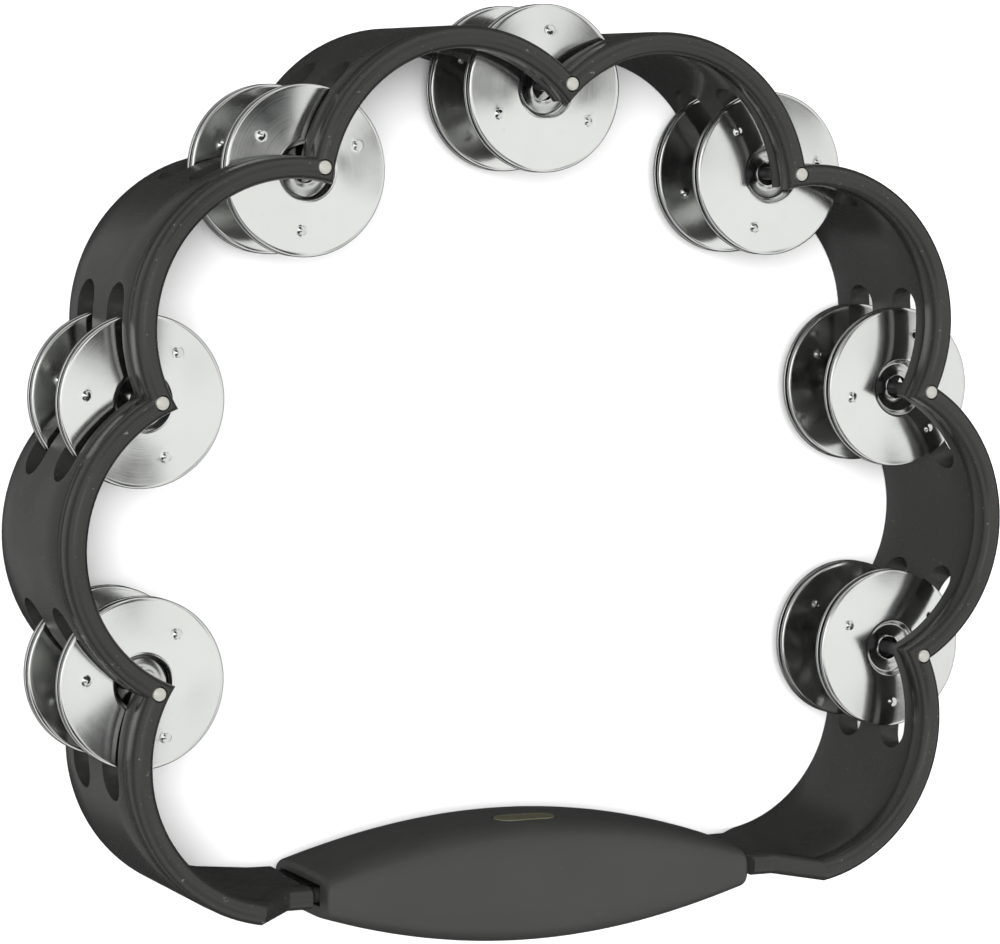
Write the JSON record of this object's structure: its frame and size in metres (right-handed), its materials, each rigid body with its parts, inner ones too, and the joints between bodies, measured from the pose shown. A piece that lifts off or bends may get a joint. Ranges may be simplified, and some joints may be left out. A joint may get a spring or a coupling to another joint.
{
  "type": "tambourine",
  "caption": "Scalloped, headless hand tambourine: a slotted lobed frame with two rows of paired metal jingles on pins and a spindle-shaped hand grip.",
  "frame": {"origin": "on the resting surface, under the middle of the whole instrument", "axes": "+Z out of the front rim, +Y from the grip to the crown, +X to the right seen from the front"},
  "size_m": [0.2544, 0.2316, 0.0483],
  "materials": {
    "frame_plastic": "satin black moulded plastic",
    "grip_plastic": "satin black, a little softer than the frame",
    "jingle_metal": "bright plated stamping",
    "pin_metal": "plain domed head",
    "plate_finish": "blank olive plate"
  },
  "bodies": {
    "frame": {"frame": "frame_plastic", "grip_front_half": "grip_plastic", "grip_rear_half": "grip_plastic", "name_plate": "plate_finish", "pin_1": "pin_metal", "pin_2": "pin_metal", "pin_3": "pin_metal", "pin_4": "pin_metal", "pin_5": "pin_metal", "pin_6": "pin_metal", "pin_7": "pin_metal"},
    "jingle_1_front_b": {"jingle_1_front_b": "jingle_metal"},
    "jingle_1_front_a": {"jingle_1_front_a": "jingle_metal"},
    "jingle_1_rear_b": {"jingle_1_rear_b": "jingle_metal"},
    "jingle_1_rear_a": {"jingle_1_rear_a": "jingle_metal"},
    "jingle_2_front_b": {"jingle_2_front_b": "jingle_metal"},
    "jingle_2_front_a": {"jingle_2_front_a": "jingle_metal"},
    "jingle_2_rear_b": {"jingle_2_rear_b": "jingle_metal"},
    "jingle_2_rear_a": {"jingle_2_rear_a": "jingle_metal"},
    "jingle_3_front_b": {"jingle_3_front_b": "jingle_metal"},
    "jingle_3_front_a": {"jingle_3_front_a": "jingle_metal"},
    "jingle_3_rear_b": {"jingle_3_rear_b": "jingle_metal"},
    "jingle_3_rear_a": {"jingle_3_rear_a": "jingle_metal"},
    "jingle_4_front_b": {"jingle_4_front_b": "jingle_metal"},
    "jingle_4_front_a": {"jingle_4_front_a": "jingle_metal"},
    "jingle_4_rear_b": {"jingle_4_rear_b": "jingle_metal"},
    "jingle_4_rear_a": {"jingle_4_rear_a": "jingle_metal"},
    "jingle_5_front_b": {"jingle_5_front_b": "jingle_metal"},
    "jingle_5_front_a": {"jingle_5_front_a": "jingle_metal"},
    "jingle_5_rear_b": {"jingle_5_rear_b": "jingle_metal"},
    "jingle_5_rear_a": {"jingle_5_rear_a": "jingle_metal"},
    "jingle_6_front_b": {"jingle_6_front_b": "jingle_metal"},
    "jingle_6_front_a": {"jingle_6_front_a": "jingle_metal"},
    "jingle_6_rear_b": {"jingle_6_rear_b": "jingle_metal"},
    "jingle_6_rear_a": {"jingle_6_rear_a": "jingle_metal"},
    "jingle_7_front_b": {"jingle_7_front_b": "jingle_metal"},
    "jingle_7_front_a": {"jingle_7_front_a": "jingle_metal"},
    "jingle_7_rear_b": {"jingle_7_rear_b": "jingle_metal"},
    "jingle_7_rear_a": {"jingle_7_rear_a": "jingle_metal"}
  },
  "joints": [
    {"name": "slide_1_front_pair", "type": "slide", "parent": "frame", "child": "jingle_1_front_a", "axis": [0, 0, 1], "range_m": [-0.00263, 0.00005]},
    {"name": "open_1_front_pair", "type": "slide", "parent": "jingle_1_front_a", "child": "jingle_1_front_b", "axis": [0, 0, 1], "range_m": [-0.00263, 0]},
    {"name": "slide_1_rear_pair", "type": "slide", "parent": "frame", "child": "jingle_1_rear_a", "axis": [0, 0, 1], "range_m": [-0.00138, 0.00255]},
    {"name": "open_1_rear_pair", "type": "slide", "parent": "jingle_1_rear_a", "child": "jingle_1_rear_b", "axis": [0, 0, 1], "range_m": [-0.00138, 0]},
    {"name": "slide_2_front_pair", "type": "slide", "parent": "frame", "child": "jingle_2_front_a", "axis": [0, 0, 1], "range_m": [-0.00178, 0.00175]},
    {"name": "open_2_front_pair", "type": "slide", "parent": "jingle_2_front_a", "child": "jingle_2_front_b", "axis": [0, 0, 1], "range_m": [-0.00178, 0]},
    {"name": "slide_2_rear_pair", "type": "slide", "parent": "frame", "child": "jingle_2_rear_a", "axis": [0, 0, 1], "range_m": [-0.00193, 0.00145]},
    {"name": "open_2_rear_pair", "type": "slide", "parent": "jingle_2_rear_a", "child": "jingle_2_rear_b", "axis": [0, 0, 1], "range_m": [-0.00193, 0]},
    {"name": "slide_3_front_pair", "type": "slide", "parent": "frame", "child": "jingle_3_front_a", "axis": [0, 0, 1], "range_m": [-0.00263, 0.00005]},
    {"name": "open_3_front_pair", "type": "slide", "parent": "jingle_3_front_a", "child": "jingle_3_front_b", "axis": [0, 0, 1], "range_m": [-0.00263, 0]},
    {"name": "slide_3_rear_pair", "type": "slide", "parent": "frame", "child": "jingle_3_rear_a", "axis": [0, 0, 1], "range_m": [-0.00193, 0.00145]},
    {"name": "open_3_rear_pair", "type": "slide", "parent": "jingle_3_rear_a", "child": "jingle_3_rear_b", "axis": [0, 0, 1], "range_m": [-0.00193, 0]},
    {"name": "slide_4_front_pair", "type": "slide", "parent": "frame", "child": "jingle_4_front_b", "axis": [0, 0, 1], "range_m": [-0.00175, 0.00178]},
    {"name": "open_4_front_pair", "type": "slide", "parent": "jingle_4_front_b", "child": "jingle_4_front_a", "axis": [0, 0, 1], "range_m": [0, 0.00178]},
    {"name": "slide_4_rear_pair", "type": "slide", "parent": "frame", "child": "jingle_4_rear_b", "axis": [0, 0, 1], "range_m": [-0.00005, 0.00263]},
    {"name": "open_4_rear_pair", "type": "slide", "parent": "jingle_4_rear_b", "child": "jingle_4_rear_a", "axis": [0, 0, 1], "range_m": [0, 0.00263]},
    {"name": "slide_5_front_pair", "type": "slide", "parent": "frame", "child": "jingle_5_front_b", "axis": [0, 0, 1], "range_m": [-0.00055, 0.00237]},
    {"name": "open_5_front_pair", "type": "slide", "parent": "jingle_5_front_b", "child": "jingle_5_front_a", "axis": [0, 0, 1], "range_m": [0, 0.00237]},
    {"name": "slide_5_rear_pair", "type": "slide", "parent": "frame", "child": "jingle_5_rear_b", "axis": [0, 0, 1], "range_m": [-0.00005, 0.00263]},
    {"name": "open_5_rear_pair", "type": "slide", "parent": "jingle_5_rear_b", "child": "jingle_5_rear_a", "axis": [0, 0, 1], "range_m": [0, 0.00263]},
    {"name": "slide_6_front_pair", "type": "slide", "parent": "frame", "child": "jingle_6_front_b", "axis": [0, 0, 1], "range_m": [-0.00065, 0.00233]},
    {"name": "open_6_front_pair", "type": "slide", "parent": "jingle_6_front_b", "child": "jingle_6_front_a", "axis": [0, 0, 1], "range_m": [0, 0.00233]},
    {"name": "slide_6_rear_pair", "type": "slide", "parent": "frame", "child": "jingle_6_rear_b", "axis": [0, 0, 1], "range_m": [-0.00005, 0.00263]},
    {"name": "open_6_rear_pair", "type": "slide", "parent": "jingle_6_rear_b", "child": "jingle_6_rear_a", "axis": [0, 0, 1], "range_m": [0, 0.00263]},
    {"name": "slide_7_front_pair", "type": "slide", "parent": "frame", "child": "jingle_7_front_b", "axis": [0, 0, 1], "range_m": [-0.00005, 0.00263]},
    {"name": "open_7_front_pair", "type": "slide", "parent": "jingle_7_front_b", "child": "jingle_7_front_a", "axis": [0, 0, 1], "range_m": [0, 0.00263]},
    {"name": "slide_7_rear_pair", "type": "slide", "parent": "frame", "child": "jingle_7_rear_b", "axis": [0, 0, 1], "range_m": [-0.00005, 0.00263]},
    {"name": "open_7_rear_pair", "type": "slide", "parent": "jingle_7_rear_b", "child": "jingle_7_rear_a", "axis": [0, 0, 1], "range_m": [0, 0.00263]}
  ]
}
